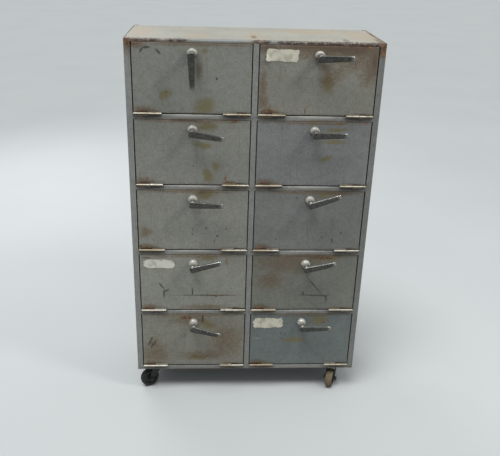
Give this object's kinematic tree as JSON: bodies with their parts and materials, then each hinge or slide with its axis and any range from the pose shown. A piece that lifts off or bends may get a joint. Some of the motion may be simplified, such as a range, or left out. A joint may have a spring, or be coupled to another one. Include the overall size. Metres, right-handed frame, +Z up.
{
  "type": "storage cabinet",
  "caption": "Narrow sheet-steel cabinet on swivel casters; compartments in two columns, each closed by a bottom-hinged drop flap with a turning lever latch.",
  "frame": {"origin": "on the floor, under the middle of the cabinet's bounding box", "axes": "+Z up, +X to the right seen from the front, +Y from the front face towards the back"},
  "size_m": [0.75, 0.346, 1.202],
  "materials": {
    "frame_paint": "worn satin grey paint over sheet steel, chipped and rusted along edges",
    "top_paint": "worn pale grey paint, stained",
    "flap_paint": "worn satin grey paint with scratches, stains and rust",
    "hinge_steel": "bare turned steel, tarnished",
    "pin_steel": "rusty steel",
    "lever_plating": "dulled nickel plating, pitted",
    "latch_steel": "zinc-plated steel",
    "caster_steel": "blackened pressed steel, dusty",
    "bolt_steel": "zinc-plated steel",
    "tyre": "dirty dark rubber"
  },
  "bodies": {
    "cabinet": {"left_side": "frame_paint", "right_side": "frame_paint", "top_panel": "top_paint", "floor_panel": "frame_paint", "back_panel": "frame_paint", "centre_partition": "frame_paint", "shelves": "frame_paint", "frame_hinge_barrels": "hinge_steel", "hinge_pins": "pin_steel", "latch_keepers": "latch_steel", "caster_plates": "caster_steel", "caster_bolts": "bolt_steel"},
    "flap_body_left_1": {"flap_left_1": "flap_paint", "flap_fittings_left_1": "hinge_steel"},
    "flap_body_left_2": {"flap_left_2": "flap_paint", "flap_fittings_left_2": "hinge_steel"},
    "flap_body_left_3": {"flap_left_3": "flap_paint", "flap_fittings_left_3": "hinge_steel"},
    "flap_body_left_4": {"flap_left_4": "flap_paint", "flap_fittings_left_4": "hinge_steel"},
    "flap_body_left_5": {"flap_left_5": "flap_paint", "flap_fittings_left_5": "hinge_steel"},
    "flap_body_right_1": {"flap_right_1": "flap_paint", "flap_fittings_right_1": "hinge_steel"},
    "flap_body_right_2": {"flap_right_2": "flap_paint", "flap_fittings_right_2": "hinge_steel"},
    "flap_body_right_3": {"flap_right_3": "flap_paint", "flap_fittings_right_3": "hinge_steel"},
    "flap_body_right_4": {"flap_right_4": "flap_paint", "flap_fittings_right_4": "hinge_steel"},
    "flap_body_right_5": {"flap_right_5": "flap_paint", "flap_fittings_right_5": "hinge_steel"},
    "latch_body_left_1": {"lever_left_1": "lever_plating", "latch_cam_left_1": "latch_steel"},
    "latch_body_left_2": {"lever_left_2": "lever_plating", "latch_cam_left_2": "latch_steel"},
    "latch_body_left_3": {"lever_left_3": "lever_plating", "latch_cam_left_3": "latch_steel"},
    "latch_body_left_4": {"lever_left_4": "lever_plating", "latch_cam_left_4": "latch_steel"},
    "latch_body_left_5": {"lever_left_5": "lever_plating", "latch_cam_left_5": "latch_steel"},
    "latch_body_right_1": {"lever_right_1": "lever_plating", "latch_cam_right_1": "latch_steel"},
    "latch_body_right_2": {"lever_right_2": "lever_plating", "latch_cam_right_2": "latch_steel"},
    "latch_body_right_3": {"lever_right_3": "lever_plating", "latch_cam_right_3": "latch_steel"},
    "latch_body_right_4": {"lever_right_4": "lever_plating", "latch_cam_right_4": "latch_steel"},
    "latch_body_right_5": {"lever_right_5": "lever_plating", "latch_cam_right_5": "latch_steel"},
    "swivel_body_front_left": {"caster_fork_front_left": "caster_steel"},
    "wheel_body_front_left": {"wheel_front_left": "tyre"},
    "swivel_body_front_right": {"caster_fork_front_right": "caster_steel"},
    "wheel_body_front_right": {"wheel_front_right": "tyre"},
    "swivel_body_rear_left": {"caster_fork_rear_left": "caster_steel"},
    "wheel_body_rear_left": {"wheel_rear_left": "tyre"},
    "swivel_body_rear_right": {"caster_fork_rear_right": "caster_steel"},
    "wheel_body_rear_right": {"wheel_rear_right": "tyre"}
  },
  "joints": [
    {"name": "flap_hinge_left_1", "type": "hinge", "parent": "cabinet", "child": "flap_body_left_1", "pos_m": [-0.1825, -0.1262, 0.98875], "axis": [1, 0, 0], "range_deg": [0, 100]},
    {"name": "flap_hinge_left_2", "type": "hinge", "parent": "cabinet", "child": "flap_body_left_2", "pos_m": [-0.1825, -0.1262, 0.767], "axis": [1, 0, 0], "range_deg": [0, 100]},
    {"name": "flap_hinge_left_3", "type": "hinge", "parent": "cabinet", "child": "flap_body_left_3", "pos_m": [-0.1825, -0.1262, 0.54525], "axis": [1, 0, 0], "range_deg": [0, 100]},
    {"name": "flap_hinge_left_4", "type": "hinge", "parent": "cabinet", "child": "flap_body_left_4", "pos_m": [-0.1825, -0.1262, 0.3235], "axis": [1, 0, 0], "range_deg": [0, 100]},
    {"name": "flap_hinge_left_5", "type": "hinge", "parent": "cabinet", "child": "flap_body_left_5", "pos_m": [-0.1825, -0.1262, 0.10175], "axis": [1, 0, 0], "range_deg": [0, 100]},
    {"name": "flap_hinge_right_1", "type": "hinge", "parent": "cabinet", "child": "flap_body_right_1", "pos_m": [0.1825, -0.1262, 0.98875], "axis": [1, 0, 0], "range_deg": [0, 100]},
    {"name": "flap_hinge_right_2", "type": "hinge", "parent": "cabinet", "child": "flap_body_right_2", "pos_m": [0.1825, -0.1262, 0.767], "axis": [1, 0, 0], "range_deg": [0, 100]},
    {"name": "flap_hinge_right_3", "type": "hinge", "parent": "cabinet", "child": "flap_body_right_3", "pos_m": [0.1825, -0.1262, 0.54525], "axis": [1, 0, 0], "range_deg": [0, 100]},
    {"name": "flap_hinge_right_4", "type": "hinge", "parent": "cabinet", "child": "flap_body_right_4", "pos_m": [0.1825, -0.1262, 0.3235], "axis": [1, 0, 0], "range_deg": [0, 100]},
    {"name": "flap_hinge_right_5", "type": "hinge", "parent": "cabinet", "child": "flap_body_right_5", "pos_m": [0.1825, -0.1262, 0.10175], "axis": [1, 0, 0], "range_deg": [0, 100]},
    {"name": "lever_turn_left_1", "type": "hinge", "parent": "flap_body_left_1", "child": "latch_body_left_1", "pos_m": [-0.1825, -0.122, 1.164], "axis": [0, -1, 0], "range_deg": [0, 123]},
    {"name": "lever_turn_left_2", "type": "hinge", "parent": "flap_body_left_2", "child": "latch_body_left_2", "pos_m": [-0.1825, -0.122, 0.94225], "axis": [0, -1, 0], "range_deg": [-79, 44]},
    {"name": "lever_turn_left_3", "type": "hinge", "parent": "flap_body_left_3", "child": "latch_body_left_3", "pos_m": [-0.1825, -0.122, 0.7205], "axis": [0, -1, 0], "range_deg": [-86, 37]},
    {"name": "lever_turn_left_4", "type": "hinge", "parent": "flap_body_left_4", "child": "latch_body_left_4", "pos_m": [-0.1825, -0.122, 0.49875], "axis": [0, -1, 0], "range_deg": [-103, 20]},
    {"name": "lever_turn_left_5", "type": "hinge", "parent": "flap_body_left_5", "child": "latch_body_left_5", "pos_m": [-0.1825, -0.122, 0.277], "axis": [0, -1, 0], "range_deg": [-73, 50]},
    {"name": "lever_turn_right_1", "type": "hinge", "parent": "flap_body_right_1", "child": "latch_body_right_1", "pos_m": [0.1825, -0.122, 1.164], "axis": [0, -1, 0], "range_deg": [-90, 33]},
    {"name": "lever_turn_right_2", "type": "hinge", "parent": "flap_body_right_2", "child": "latch_body_right_2", "pos_m": [0.1825, -0.122, 0.94225], "axis": [0, -1, 0], "range_deg": [-89, 34]},
    {"name": "lever_turn_right_3", "type": "hinge", "parent": "flap_body_right_3", "child": "latch_body_right_3", "pos_m": [0.1825, -0.122, 0.7205], "axis": [0, -1, 0], "range_deg": [-107, 16]},
    {"name": "lever_turn_right_4", "type": "hinge", "parent": "flap_body_right_4", "child": "latch_body_right_4", "pos_m": [0.1825, -0.122, 0.49875], "axis": [0, -1, 0], "range_deg": [-102, 21]},
    {"name": "lever_turn_right_5", "type": "hinge", "parent": "flap_body_right_5", "child": "latch_body_right_5", "pos_m": [0.1825, -0.122, 0.277], "axis": [0, -1, 0], "range_deg": [-90, 33]},
    {"name": "swivel_front_left", "type": "hinge", "parent": "cabinet", "child": "swivel_body_front_left", "pos_m": [-0.314, -0.079, 0.086], "axis": [0, 0, 1], "continuous": true},
    {"name": "axle_front_left", "type": "hinge", "parent": "swivel_body_front_left", "child": "wheel_body_front_left", "pos_m": [-0.33895, -0.09171, 0.0325], "axis": [0.454, -0.891, 0], "continuous": true},
    {"name": "swivel_front_right", "type": "hinge", "parent": "cabinet", "child": "swivel_body_front_right", "pos_m": [0.314, -0.079, 0.086], "axis": [0, 0, 1], "continuous": true},
    {"name": "axle_front_right", "type": "hinge", "parent": "swivel_body_front_right", "child": "wheel_body_front_right", "pos_m": [0.30306, -0.10477, 0.0325], "axis": [0.9205, -0.3907, 0], "continuous": true},
    {"name": "swivel_rear_left", "type": "hinge", "parent": "cabinet", "child": "swivel_body_rear_left", "pos_m": [-0.314, 0.13, 0.086], "axis": [0, 0, 1], "continuous": true},
    {"name": "axle_rear_left", "type": "hinge", "parent": "swivel_body_rear_left", "child": "wheel_body_rear_left", "pos_m": [-0.3338, 0.1102, 0.0325], "axis": [0.7071, -0.7071, 0], "continuous": true},
    {"name": "swivel_rear_right", "type": "hinge", "parent": "cabinet", "child": "swivel_body_rear_right", "pos_m": [0.314, 0.13, 0.086], "axis": [0, 0, 1], "continuous": true},
    {"name": "axle_rear_right", "type": "hinge", "parent": "swivel_body_rear_right", "child": "wheel_body_rear_right", "pos_m": [0.30914, 0.10243, 0.0325], "axis": [0.9848, -0.1736, 0], "continuous": true}
  ]
}
